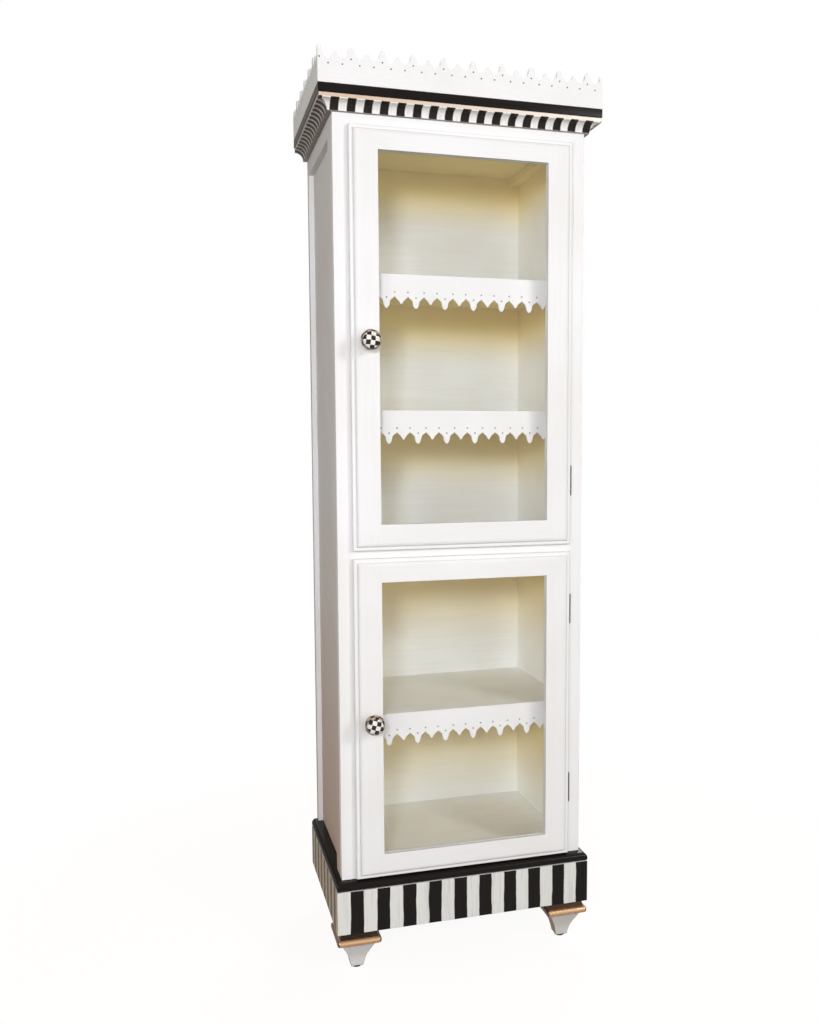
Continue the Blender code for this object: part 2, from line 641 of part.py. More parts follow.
def build_hinge(name, middle, axis, paint):
    """A butt hinge: a leaf with the pin on the face frame and a bored leaf on the door."""
    low = middle - HINGE_LENGTH / 2
    pitch = HINGE_LENGTH / KNUCKLES
    radius = HINGE_BARREL / 2
    z = (low, low + HINGE_LENGTH)
    fixed = (-GAP - HINGE_THICKNESS, -GAP)
    moving = (DOOR_BACK + GAP, DOOR_BACK + GAP + HINGE_THICKNESS)
    leaf_end = DOOR_HALF - GAP
    frame_leaf = box(name + "_hinge_frame_leaf", (HINGE_X - HINGE_LEAF, leaf_end), fixed, z, paint)
    door_leaf = box(name + "_hinge_door_leaf", (HINGE_X - HINGE_LEAF, leaf_end), moving, z, paint)
    for knuckle in range(KNUCKLES):
        start = low + knuckle * pitch + (GAP / 2 if knuckle else 0)
        end = low + (knuckle + 1) * pitch - (GAP / 2 if knuckle < KNUCKLES - 1 else 0)
        on_frame = knuckle % 2 == 0
        leaf = frame_leaf if on_frame else door_leaf
        bore = HINGE_PIN / 2 + GAP
        union(leaf, barrel(start, end, radius, 0 if on_frame else bore))
        y = fixed if on_frame else moving
        web_end = HINGE_X - (bore / 2 if on_frame else (radius + bore) / 2)
        union(leaf, cuboid((leaf_end - GAP, web_end), y, (start, end)))
    union(frame_leaf, barrel(low + pitch / 2, low + HINGE_LENGTH - pitch / 2, HINGE_PIN / 2, 0))
    door_leaf.data.transform(Matrix.Translation(-axis.location))
    door_leaf.parent = axis


def door_axis(name, low):
    """An empty on the door's hinge line."""
    axis = bpy.data.objects.new(name, None)
    axis.location = Vector((HINGE_X, HINGE_Y, low)) + CENTRING
    bpy.context.scene.collection.objects.link(axis)
    return axis


def main():
    clear_scene()
    build_carcase()
    build_cornice()
    build_plinth()
    build_feet()
    doors = (
        ("upper", Z_UPPER_DOOR, Z_UPPER_DOOR_TOP, UPPER_BOTTOM_RAIL, UPPER_TOP_RAIL, UPPER_HINGE_INSETS),
        ("lower", Z_LOWER_DOOR, Z_LOWER_DOOR_TOP, LOWER_BOTTOM_RAIL, LOWER_TOP_RAIL, LOWER_HINGE_INSETS),
    )
    for name, low, high, bottom_rail, top_rail, insets in doors:
        axis = door_axis(name + "_door_axis", low)
        build_door(name, low, high, bottom_rail, top_rail, axis)
        build_hinge(name + "_bottom", low + insets[0], axis, "dark_steel")
        build_hinge(name + "_top", high - insets[1], axis, "white_paint" if name == "upper" else "dark_steel")


main()
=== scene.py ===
"""The looks of a tall painted curio cabinet: two glazed doors, a fretted crown and a striped plinth.

Laid out as a Blender add-on and run as a script. Lengths are in metres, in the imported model's frame.
"""

import json
import math

import bmesh
import bpy
from mathutils import Matrix, Vector


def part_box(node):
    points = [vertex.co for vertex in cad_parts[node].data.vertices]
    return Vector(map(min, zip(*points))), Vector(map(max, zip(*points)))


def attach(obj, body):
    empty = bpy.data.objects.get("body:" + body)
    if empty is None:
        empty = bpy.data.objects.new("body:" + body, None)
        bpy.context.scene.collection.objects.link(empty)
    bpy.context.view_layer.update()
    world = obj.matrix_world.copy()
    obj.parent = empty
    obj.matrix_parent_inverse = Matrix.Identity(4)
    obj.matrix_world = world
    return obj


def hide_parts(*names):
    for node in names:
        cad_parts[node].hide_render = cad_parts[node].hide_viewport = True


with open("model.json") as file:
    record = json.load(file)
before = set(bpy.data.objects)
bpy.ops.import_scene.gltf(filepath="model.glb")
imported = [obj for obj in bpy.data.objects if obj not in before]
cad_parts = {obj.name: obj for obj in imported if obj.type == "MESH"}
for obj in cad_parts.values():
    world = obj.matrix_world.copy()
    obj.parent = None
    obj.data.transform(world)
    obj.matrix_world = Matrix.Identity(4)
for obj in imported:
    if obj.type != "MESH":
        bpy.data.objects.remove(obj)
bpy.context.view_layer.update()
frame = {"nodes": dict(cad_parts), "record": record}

bl_info = {
    "name": "Curio cabinet looks",
    "version": (1, 0, 0),
    "blender": (4, 5, 0),
    "location": "3D View > Sidebar > Curio",
    "description": "Paints, glazes and lights a packed curio cabinet",
    "category": "Object",
}

# How close two vertices of a CAD mesh are to be one, and how flat an edge is to be left out, in degrees
MERGE = 0.00001
FLAT = 0.5

# How sharp an edge is to be eased, in degrees, and the steps across an eased arris
ARRIS = 40
ARRIS_STEPS = 2

# How far a normal points along an axis for its face to count as facing that way: roughly, squarely,
# upwards for a top whose eased corners keep the paint of its sides, and on a nosing
FACING = 0.5
SQUARE_ON = 0.7
UPWARD = 0.9
NOSING_FACING = 0.3


def linear(code):
    """The linear colour of an sRGB hex code."""
    levels = []
    for place in (0, 2, 4):
        level = int(code[place:place + 2], 16) / 255
        levels.append(level / 12.92 if level <= 0.04045 else ((level + 0.055) / 1.055) ** 2.4)
    return (*levels, 1.0)


def scaled(paint, gain, lift=0.0):
    """A paint made lighter or darker, at full cover."""
    return [gain * level + lift for level in paint[:3]] + [1.0]


# Sizes and colours that a user would change


def length(name, text, default, highest=0.1):
    return bpy.props.FloatProperty(
        name=name, description=text, default=default, min=0.0, max=highest, unit="LENGTH", precision=4,
    )


def colour(name, text, code):
    return bpy.props.FloatVectorProperty(
        name=name, description=text, default=linear(code), size=4, min=0.0, max=1.0, subtype="COLOR",
    )


class CurioSizes(bpy.types.PropertyGroup):
    board_edge: length("Board edge", "Round on the arrises of the painted boards", 0.0009, 0.003)
    top_board_edge: length("Top board edge", "Round on the arrises of the black top board", 0.0016, 0.003)
    fret_edge: length("Fret edge", "Round on the arrises of the fretwork", 0.0005, 0.002)
    small_edge: length("Small edge", "Round on the arrises of doors, glides and magnets", 0.0006, 0.002)
    metal_edge: length("Metal edge", "Round on the arrises of the hinges", 0.00015, 0.0005)
    face_stile: length("Face stile", "Width of the face frame's stiles", 0.0570)
    door_stile: length("Door stile", "Width of the doors' stiles", 0.0620)
    fret_pitch: length("Fret pitch", "Distance from one tall tooth to the next", 0.0672)
    crown_tooth: length("Crown tooth", "From a crown board's end to its first tall tooth", 0.0039)
    dot: length("Dot", "Diameter of the painted dots on the fretwork", 0.0036, 0.01)
    tooth_dot: length("Tooth dot", "From the back edge of a fret to the dots on its tall teeth", 0.0505)
    notch_dot: length("Notch dot", "From the back edge of a fret to the dots over its notches", 0.0390)
    notch_step: length("Notch step", "Along a fret from a tall tooth to a notch", 0.0185)
    fillet: length("Fillet", "Height of the gold on the cornice fillet", 0.0075)
    lip: length("Lip", "Height of the bronze lip under the cornice", 0.0020)
    cove_period: length("Cove period", "Distance between dark stripes on the front cove", 0.0362)
    cove_first: length("Cove first", "From the middle to a dark stripe on the front cove", 0.0032)
    cove_side_period: length("Cove side period", "Distance between dark stripes on the side coves", 0.0252)
    cove_side_first: length("Cove side first", "From a side cove's front end to a dark stripe", 0.0080)
    plinth_stripe: length("Plinth stripe", "Width of a stripe on the plinth's front", 0.0305)
    side_stripe: length("Side stripe", "Width of a stripe on the plinth's sides", 0.0248)
    plate: length("Plate", "Thickness of the foot plates", 0.0158)
    plate_round: length("Plate round", "Radius of the foot plates' nosing", 0.0062)
    check: length("Check", "Side of a glazed square on the knobs", 0.0099, 0.03)
    rim: length("Rim", "Radius at which the knobs' ring of small checks starts", 0.0178)
    # How far down the upper bays the painted shade, in amber, reaches under each board
    painted_shade_depth: length("Yellowing", "How far down the upper bays the enamel has yellowed", 0.165, 0.5)
    # Heights of the painted shade on the sides: full below the first, none above the second
    side_shade_foot: length("Toning foot", "Height up to which the sides' toning is full", 0.15, 2.0)
    side_shade_top: length("Toning top", "Height at which the sides' toning ends", 1.15, 2.0)
    fill: bpy.props.FloatProperty(
        name="Fill", description="Strength of the warm light from all round", default=0.22, min=0.0, max=1.0,
    )


class CurioColours(bpy.types.PropertyGroup):
    white: colour("White", "White enamel of the fronts, sides and fretwork", "EFEFEE")
    dots: colour("Dots", "Painted dots of the fretwork", "4B4642")
    cream: colour("Cream", "Cream enamel of the inside", "F8FAF4")
    # The amber is painted shade at the dark top of each bay
    painted_shade_amber: colour("Amber", "Yellowed enamel at the dark top of each bay", "EFD984")
    # The sides' umber is painted shade, darker and warmer towards the plinth
    side_painted_shade: colour("Toning", "Umber toning rubbed on the foot of the sides", "D0B8A8")
    black: colour("Black", "Black enamel of the top board and ledge", "14100D")
    cove_white: colour("Cove white", "Light stripes of the front cove", "EEEDE8")
    # Greyer than the cabinet's white: partly their own colour, partly painted shade low on the cabinet
    stripe_white: colour("Stripe white", "Light stripes of the plinth's front", "E4E4DF")
    # The plinth sides' tan and brown stripes are partly their own colour, partly painted shade
    stripe_tan: colour("Stripe tan", "Light stripes on the plinth's sides", "C8B38C")
    stripe_black: colour("Stripe black", "Dark stripes", "15110F")
    stripe_brown: colour("Stripe brown", "Dark stripes on the plinth's sides", "33200F")
    gold: colour("Gold", "Gold paint of the foot plates", "A6754F")
    # A painted highlight along the nosing of the foot plates
    plate_painted_highlight: colour("Burnished", "Burnished line along the foot plates' nosing", "DFBD90")
    pale_gold: colour("Pale gold", "Gold paint of the cornice fillet", "D5BDA5")
    lip: colour("Lip", "Bronze paint of the lip under the cornice", "7D7068")
    # The necks' dark umber is partly their own paint, partly painted shade under the plinth
    umber: colour("Umber", "Dark wash of the foot necks", "241A13")
    glaze_white: colour("Glaze white", "Light checks of the knobs", "F3EFE8")
    glaze_black: colour("Glaze black", "Dark checks of the knobs", "1A130E")
    brass: colour("Brass", "Ferrules of the knobs", "B8934F")
    bronze: colour("Bronze", "Hinges and strikes", "4A4038")
    glass: colour("Glass", "Glass of the doors", "FEFEFE")
    backdrop: colour("Backdrop", "Floor and backdrop", "FFFFFF")


def chosen():
    """The sizes and colours as the user has set them."""
    scene = bpy.context.scene
    return scene.curio_sizes, scene.curio_colours


# Finishes

# A brush mark along x, y and z, how deep a bristle line is, and how far apart clouds of tone lie. Real
# bristle lines are 1 mm apart or less, so they are drawn coarser to show.
STROKES = {
    "upright": (0.006, 0.006, 0.160),
    "level": (0.160, 0.160, 0.006),
    "across": (0.160, 0.008, 0.008),
    "fret": (0.020, 0.020, 0.004),
    "neck": (0.012, 0.012, 0.004),
    "leg": (0.006, 0.006, 0.060),
    "grain": (0.160, 0.160, 0.003),
}
BRISTLE_DEPTH = 0.00008
CLOUD = 1 / 4.5

# Where the soft edge of a dot of paint starts and stops, as shares of its radius
DOT_EDGE = (0.75, 1.15)

# A hand-drawn stripe: how far apart its edge wavers, how soft the edge is, and a streak across and along
WAVER = 1 / 26
STRIPE_SOFTNESS = 0.0007
STREAK = (1 / 190, 1 / 190, 1 / 9)

# Worn patches in gold paint and in lacquer, and the turning lines in metal, drawn coarser than real ones
GOLD_PATCH = 1 / 85
LACQUER_PATCH = 1 / 160
TOOL_LINE = 0.0006
TOOL_RUN = 1 / 30

# A glazed knob: how far apart and how far its checks waver, its speckle, and the small checks in its ring
CHECK_WAVER = 1 / 150
CHECK_WANDER = 0.0022
SPECKLE = 1 / 420
RING_CHECKS = 14
RING_SQUEEZE = 1.2

# A smear on the glass, and a pit in moulded plastic, drawn coarser than the real 0.1 mm
SMEAR = 1 / 7
PIT = 0.0012

# The depth of the painted shade, in amber, under each board, from the lowest up, as a share of that in
# the upper bays. Then the share of it that is full, how soon it ends above a board's underside, and the
# ramp's spare height
PAINTED_SHADE_SHARES = (
    ("shelf_3", 2.1), ("mid_deck", 1.9), ("shelf_2", 1.2), ("shelf_1", 1.0), ("top_panel", 1.0),
)
FULL_PAINTED_SHADE_SHARE = 0.15
PAINTED_SHADE_EDGE = 0.003
PAINTED_SHADE_SPARE = 0.1

# Options that many nodes share
SMOOTH = {"interpolation_type": "SMOOTHSTEP"}
RGBA = {"data_type": "RGBA"}


def connect(tree, node, sources):
    for name, source in sources.items():
        tree.links.new(source, node.inputs[name])


def add_node(tree, kind, settings=None, values=None, links=None):
    """Adds a node; settings are its own options, values its plain sockets and links its linked ones."""
    node = tree.nodes.new(kind)
    for name, value in (settings or {}).items():
        setattr(node, name, value)
    for name, value in (values or {}).items():
        node.inputs[name].default_value = value
    connect(tree, node, links or {})
    return node


def new_finish(name, even=None):
    """An empty material, its shader with the values that are even all over, and its object coordinates."""
    made = bpy.data.materials.new(name)
    made.use_nodes = True
    tree = made.node_tree
    tree.nodes.clear()
    shader = add_node(tree, "ShaderNodeBsdfPrincipled", values=even)
    add_node(tree, "ShaderNodeOutputMaterial", links={"Surface": shader.outputs[0]})
    place = add_node(tree, "ShaderNodeTexCoord").outputs["Object"]
    return made, tree, shader, place


def reopened(made, lay=None):
    """The node tree of a finish, and its coordinates along x, y and z, moved and scaled as lay says."""
    tree = made.node_tree
    place = tree.nodes["Texture Coordinate"].outputs["Object"]
    if lay:
        place = add_node(tree, "ShaderNodeMapping", values=lay, links={"Vector": place}).outputs[0]
    return tree, add_node(tree, "ShaderNodeSeparateXYZ", links={0: place}).outputs


def overlay(made, cover, paint):
    """Lays another paint over a finish, as thick as the socket cover says."""
    tree = made.node_tree
    base = tree.nodes["Principled BSDF"].inputs["Base Color"]
    mixed = add_node(tree, "ShaderNodeMix", RGBA, {7: paint}, {0: cover, 6: base.links[0].from_socket})
    tree.links.new(mixed.outputs[2], base)


def worn(tree, pattern, low, high, paint, tone):
    """Paint that turns to another tone where a pattern rises from low to high."""
    amount = add_node(
        tree, "ShaderNodeMapRange", SMOOTH, {"From Min": low, "From Max": high}, {"Value": pattern},
    )
    mixed = add_node(tree, "ShaderNodeMix", RGBA, {6: paint, 7: tone}, {0: amount.outputs[0]})
    return mixed.outputs[2]


def brushed_enamel(name, paint, tone, stroke, roughness=0.50, gloss=0.35, sheen="FFFFFF"):
    """Enamel laid on boards with a flat brush.

    The eye gets a soft satin gloss, long faint bristle lines and a slow change of tone. stroke says
    which of the STROKES the brush made.
    """
    made, tree, shader, place = new_finish(
        name, {"Specular IOR Level": gloss, "Specular Tint": linear(sheen)},
    )
    lay = add_node(
        tree, "ShaderNodeMapping", values={"Scale": [1 / size for size in STROKES[stroke]]},
        links={"Vector": place},
    )
    bristle = add_node(
        tree, "ShaderNodeTexNoise", values={"Scale": 1.0, "Detail": 3.0, "Roughness": 0.6},
        links={"Vector": lay.outputs[0]},
    )
    cloud = add_node(tree, "ShaderNodeTexNoise", values={"Scale": 1 / CLOUD}, links={"Vector": place})
    both = add_node(
        tree, "ShaderNodeMath", {"operation": "MULTIPLY_ADD"}, {1: 0.45},
        {0: bristle.outputs[0], 2: cloud.outputs[0]},
    )
    dull = add_node(
        tree, "ShaderNodeMapRange",
        values={"From Min": 0.3, "From Max": 0.7, "To Min": roughness - 0.05, "To Max": roughness + 0.07},
        links={"Value": bristle.outputs[0]},
    )
    bump = add_node(
        tree, "ShaderNodeBump", values={"Strength": 0.6, "Distance": BRISTLE_DEPTH},
        links={"Height": bristle.outputs[0]},
    )
    connect(tree, shader, {
        "Base Color": worn(tree, both.outputs[0], 0.52, 0.95, paint, tone),
        "Roughness": dull.outputs[0], "Normal": bump.outputs[0],
    })
    return made


def dotted_enamel(name, along, first, edge, down):
    """The white enamel of the fretwork, with its dots of dark paint set on with a round tip.

    The dots stand over each tall tooth and each notch. along is the axis the fret runs on, first the
    place of a tall tooth, edge the level of the fret's straight edge, down whether its teeth hang.
    """
    sizes, colours = chosen()
    made = brushed_enamel(name, tuple(colours.white), linear("E9E8E4"), "fret")
    pitch = sizes.fret_pitch
    rise = (-1 if down else 1) / pitch
    start = 0.5 - first / pitch
    tree, parts = reopened(made, {
        "Location": [start, start, -edge * rise], "Scale": [1 / pitch, 1 / pitch, rise],
    })
    run = add_node(tree, "ShaderNodeMath", {"operation": "FRACT"}, links={0: parts[along]})
    centred = add_node(tree, "ShaderNodeMath", {"operation": "SUBTRACT"}, {1: 0.5}, {0: run.outputs[0]})
    off_axis = add_node(tree, "ShaderNodeMath", {"operation": "ABSOLUTE"}, links={0: centred.outputs[0]})
    spot = add_node(tree, "ShaderNodeCombineXYZ", links={0: off_axis.outputs[0], 2: parts[2]})
    near = [
        add_node(
            tree, "ShaderNodeVectorMath", {"operation": "DISTANCE"},
            {1: (step / pitch, 0.0, height / pitch)}, {0: spot.outputs[0]},
        ).outputs[1]
        for step, height in ((0.0, sizes.tooth_dot), (sizes.notch_step, sizes.notch_dot))
    ]
    nearest = add_node(tree, "ShaderNodeMath", {"operation": "MINIMUM"}, links={0: near[0], 1: near[1]})
    radius = sizes.dot / 2 / pitch
    dot = add_node(
        tree, "ShaderNodeMapRange", SMOOTH,
        {"From Min": radius * DOT_EDGE[0], "From Max": radius * DOT_EDGE[1], "To Min": 1.0, "To Max": 0.0},
        {"Value": nearest.outputs[0]},
    )
    overlay(made, dot.outputs[0], tuple(colours.dots))
    return made


def striped_enamel(name, light, dark, along, centre, period, dark_share=0.5, wobble=0.004, roughness=0.22):
    """Stripes pulled by hand with a loaded brush over a light ground, under clear varnish.

    The eye gets slightly uneven stripe edges, thin streaks inside each stripe and a high gloss. along is
    the axis the stripes are counted on, and centre the middle of any dark stripe.
    """
    made, tree, shader, place = new_finish(name, {"Roughness": roughness, "Specular IOR Level": 0.12})
    sway = add_node(
        tree, "ShaderNodeTexNoise", values={"Scale": 1 / WAVER, "Detail": 1.0, "Roughness": 0.4},
        links={"Vector": place},
    )
    hand = add_node(tree, "ShaderNodeMath", {"operation": "SUBTRACT"}, {1: 0.5}, {0: sway.outputs[0]})
    parts = add_node(tree, "ShaderNodeSeparateXYZ", links={0: place})
    drawn = add_node(
        tree, "ShaderNodeMath", {"operation": "MULTIPLY_ADD"}, {1: wobble},
        {0: hand.outputs[0], 2: parts.outputs[along]},
    )
    shifted = add_node(tree, "ShaderNodeMath", {"operation": "SUBTRACT"}, {1: centre}, {0: drawn.outputs[0]})
    counted = add_node(tree, "ShaderNodeMath", {"operation": "DIVIDE"}, {1: period}, {0: shifted.outputs[0]})
    fold = add_node(tree, "ShaderNodeMath", {"operation": "PINGPONG"}, {1: 0.5}, {0: counted.outputs[0]})
    soft = STRIPE_SOFTNESS / period
    ground = add_node(
        tree, "ShaderNodeMapRange", SMOOTH,
        {"From Min": dark_share / 2 - soft, "From Max": dark_share / 2 + soft}, {"Value": fold.outputs[0]},
    )
    pull = add_node(
        tree, "ShaderNodeMapping", values={"Scale": [1 / size for size in STREAK]}, links={"Vector": place},
    )
    streak = add_node(
        tree, "ShaderNodeTexNoise", values={"Scale": 1.0, "Detail": 3.0, "Roughness": 0.65},
        links={"Vector": pull.outputs[0]},
    )
    pale = worn(tree, streak.outputs[0], 0.46, 0.76, light, scaled(light, 0.80))
    deep = worn(tree, streak.outputs[0], 0.46, 0.76, dark, scaled(dark, 1.5, 0.001))
    mixed = add_node(tree, "ShaderNodeMix", RGBA, links={0: ground.outputs[0], 6: deep, 7: pale})
    bump = add_node(
        tree, "ShaderNodeBump", values={"Strength": 0.5, "Distance": 0.0001},
        links={"Height": streak.outputs[0]},
    )
    connect(tree, shader, {"Base Color": mixed.outputs[2], "Normal": bump.outputs[0]})
    return made


def leafed_gold(name, paint, tone, metallic, roughness):
    """Gold paint rubbed thin over a dark ground, so it glints in patches and shows brown between them."""
    made, tree, shader, place = new_finish(name, {"Metallic": metallic})
    rubbed = add_node(
        tree, "ShaderNodeTexNoise", values={"Scale": 1 / GOLD_PATCH, "Detail": 5.0, "Roughness": 0.65},
        links={"Vector": place},
    )
    dull = add_node(
        tree, "ShaderNodeMapRange",
        values={"From Min": 0.3, "From Max": 0.7, "To Min": roughness - 0.08, "To Max": roughness + 0.12},
        links={"Value": rubbed.outputs[0]},
    )
    bump = add_node(
        tree, "ShaderNodeBump", values={"Strength": 0.5, "Distance": 0.0002},
        links={"Height": rubbed.outputs[0]},
    )
    connect(tree, shader, {
        "Base Color": worn(tree, rubbed.outputs[0], 0.50, 0.76, paint, tone),
        "Roughness": dull.outputs[0], "Normal": bump.outputs[0],
    })
    return made


def gold_with_painted_highlight(name, low):
    """The gold of the foot plates, with a painted highlight: a paler line along their nosing. low is their
    foot.
    """
    sizes, colours = chosen()
    made = leafed_gold(name, tuple(colours.gold), linear("7A5233"), metallic=0.45, roughness=0.24)
    tree, parts = reopened(made)
    height = add_node(
        tree, "ShaderNodeMapRange", values={"From Min": low, "From Max": low + sizes.plate},
        links={"Value": parts[2]},
    )
    bright = add_node(tree, "ShaderNodeValToRGB", links={0: height.outputs[0]})
    stops = bright.color_ramp.elements
    stops[0].color, stops[1].color = (0.0, 0.0, 0.0, 1.0), (0.2, 0.2, 0.2, 1.0)
    # Painted highlight: brightest along the nosing, fading below and above it
    for share, level in ((0.45, 0.25), (0.66, 1.0), (0.80, 0.35)):
        stops.new(share).color = (level, level, level, 1.0)
    overlay(made, bright.outputs[0], tuple(colours.plate_painted_highlight))
    return made


def gold_with_painted_reflection(name, start, stop):
    """The gold of the cornice fillet, with a painted reflection growing paler along x from start to stop."""
    paint = tuple(chosen()[1].pale_gold)
    made = leafed_gold(name, paint, linear("CDAE90"), metallic=0.05, roughness=0.38)
    tree, parts = reopened(made)
    # Painted reflection: the fillet pales towards its right end
    reflection_share = add_node(
        tree, "ShaderNodeMapRange", values={"From Min": start, "From Max": stop, "To Max": 0.8},
        links={"Value": parts[0]},
    )
    overlay(made, reflection_share.outputs[0], linear("F0E9DF"))
    return made


def checked_glaze(name, centre, turn, shift):
    """Glazed ceramic with checks painted under a clear, very glossy glaze, and a ring of small checks.

    centre is the knob's middle, turn how far the checks lean, and shift where a corner of them falls.
    """
    sizes, colours = chosen()
    made, tree, shader, place = new_finish(name, {"Roughness": 0.12, "Specular IOR Level": 0.3})
    local = add_node(tree, "ShaderNodeVectorMath", {"operation": "SUBTRACT"}, {1: centre}, {0: place})
    sway = add_node(
        tree, "ShaderNodeTexNoise", values={"Scale": 1 / CHECK_WAVER, "Detail": 1.0},
        links={"Vector": place},
    )
    hand = add_node(
        tree, "ShaderNodeVectorMath", {"operation": "MULTIPLY_ADD"}, {1: [CHECK_WANDER] * 3},
        {0: sway.outputs[1], 2: local.outputs[0]},
    )
    lean = add_node(
        tree, "ShaderNodeMapping",
        values={
            "Rotation": (0.0, turn, 0.0), "Scale": (1 / sizes.check, 0.0, 1 / sizes.check),
            "Location": (shift[0], 0.5, shift[1]),
        },
        links={"Vector": hand.outputs[0]},
    )
    squares = add_node(
        tree, "ShaderNodeTexChecker", values={"Scale": 1.0}, links={"Vector": lean.outputs[0]},
    )
    parts = add_node(tree, "ShaderNodeSeparateXYZ", links={0: hand.outputs[0]})
    flat = add_node(tree, "ShaderNodeCombineXYZ", links={0: parts.outputs[0], 2: parts.outputs[2]})
    reach = add_node(tree, "ShaderNodeVectorMath", {"operation": "LENGTH"}, links={0: flat.outputs[0]})
    around = add_node(
        tree, "ShaderNodeMath", {"operation": "ARCTAN2"}, links={0: parts.outputs[0], 1: parts.outputs[2]},
    )
    steps = add_node(
        tree, "ShaderNodeMath", {"operation": "MULTIPLY"}, {1: RING_CHECKS / math.tau},
        {0: around.outputs[0]},
    )
    ahead = add_node(
        tree, "ShaderNodeMath", {"operation": "MULTIPLY"}, {1: RING_SQUEEZE / sizes.check},
        {0: parts.outputs[1]},
    )
    ring_place = add_node(
        tree, "ShaderNodeCombineXYZ", values={2: 0.5}, links={0: steps.outputs[0], 1: ahead.outputs[0]},
    )
    ring = add_node(
        tree, "ShaderNodeTexChecker", values={"Scale": 1.0}, links={"Vector": ring_place.outputs[0]},
    )
    outer = add_node(
        tree, "ShaderNodeMath", {"operation": "GREATER_THAN"}, {1: sizes.rim}, {0: reach.outputs["Value"]},
    )
    pattern = add_node(
        tree, "ShaderNodeMix", {"data_type": "FLOAT"},
        links={0: outer.outputs[0], 2: squares.outputs[1], 3: ring.outputs[1]},
    )
    grain = add_node(
        tree, "ShaderNodeTexNoise", values={"Scale": 1 / SPECKLE, "Detail": 3.0, "Roughness": 0.6},
        links={"Vector": place},
    )
    pale, deep = (
        worn(tree, grain.outputs[0], 0.5, 0.75, tuple(paint), linear(tone))
        for paint, tone in ((colours.glaze_white, "BFB3A2"), (colours.glaze_black, "33281F"))
    )
    # The ring's light checks are toned brown: partly their own colour, partly painted shade at the knob's
    # rim
    shade_toned = add_node(tree, "ShaderNodeMix", RGBA, {7: linear("BBA98F")}, {0: outer.outputs[0], 6: pale})
    mixed = add_node(
        tree, "ShaderNodeMix", RGBA, links={0: pattern.outputs[0], 6: deep, 7: shade_toned.outputs[2]},
    )
    tree.links.new(mixed.outputs[2], shader.inputs["Base Color"])
    return made


def float_glass(name):
    """Clear 3 mm float glass: nearly colourless and faintly smeared, with a mirror sheen.

    It bends what the camera sees, but lamp light and light from painted surfaces pass straight through,
    so that the inside is lit once and not twice.
    """
    tint = tuple(chosen()[1].glass)
    made, tree, shader, place = new_finish(
        name, {"Base Color": tint, "Transmission Weight": 1.0, "IOR": 1.5},
    )
    smear = add_node(
        tree, "ShaderNodeTexNoise", values={"Scale": 1 / SMEAR, "Detail": 3.0, "Roughness": 0.55},
        links={"Vector": place},
    )
    dull = add_node(
        tree, "ShaderNodeMapRange", values={"From Min": 0.45, "From Max": 0.8, "To Max": 0.02},
        links={"Value": smear.outputs[0]},
    )
    tree.links.new(dull.outputs[0], shader.inputs["Roughness"])
    clear = add_node(tree, "ShaderNodeBsdfTransparent", values={"Color": tint})
    path = add_node(tree, "ShaderNodeLightPath")
    surface = shader
    for ray in ("Is Shadow Ray", "Is Diffuse Ray"):
        surface = add_node(
            tree, "ShaderNodeMixShader",
            links={0: path.outputs[ray], 1: surface.outputs[0], 2: clear.outputs[0]},
        )
    connect(tree, tree.nodes["Material Output"], {"Surface": surface.outputs[0]})
    return made


def turned_metal(name, paint, tone, roughness):
    """Lacquered metal off a lathe or a press: fine lines, dulled where the lacquer has aged."""
    made, tree, shader, place = new_finish(name, {"Metallic": 1.0})
    aged = add_node(
        tree, "ShaderNodeTexNoise", values={"Scale": 1 / LACQUER_PATCH, "Detail": 4.0, "Roughness": 0.6},
        links={"Vector": place},
    )
    lines = add_node(
        tree, "ShaderNodeMapping", values={"Scale": [1 / TOOL_RUN, 1 / TOOL_LINE, 1 / TOOL_RUN]},
        links={"Vector": place},
    )
    fine = add_node(tree, "ShaderNodeTexNoise", values={"Scale": 1.0}, links={"Vector": lines.outputs[0]})
    dull = add_node(
        tree, "ShaderNodeMapRange",
        values={"From Min": 0.3, "From Max": 0.7, "To Min": roughness - 0.06, "To Max": roughness + 0.1},
        links={"Value": fine.outputs[0]},
    )
    connect(tree, shader, {
        "Base Color": worn(tree, aged.outputs[0], 0.45, 0.75, paint, tone), "Roughness": dull.outputs[0],
    })
    return made


def moulded_plastic(name, paint):
    """Black nylon or ferrite with a fine moulded texture and a dull, even sheen."""
    made, tree, shader, place = new_finish(name, {"Roughness": 0.5})
    pits = add_node(tree, "ShaderNodeTexNoise", values={"Scale": 1 / PIT}, links={"Vector": place})
    mixed = add_node(
        tree, "ShaderNodeMix", RGBA, {6: paint, 7: scaled(paint, 1.8, 0.003)}, {0: pits.outputs[0]},
    )
    bump = add_node(
        tree, "ShaderNodeBump", values={"Strength": 0.4, "Distance": 0.0001},
        links={"Height": pits.outputs[0]},
    )
    connect(tree, shader, {"Base Color": mixed.outputs[2], "Normal": bump.outputs[0]})
    return made


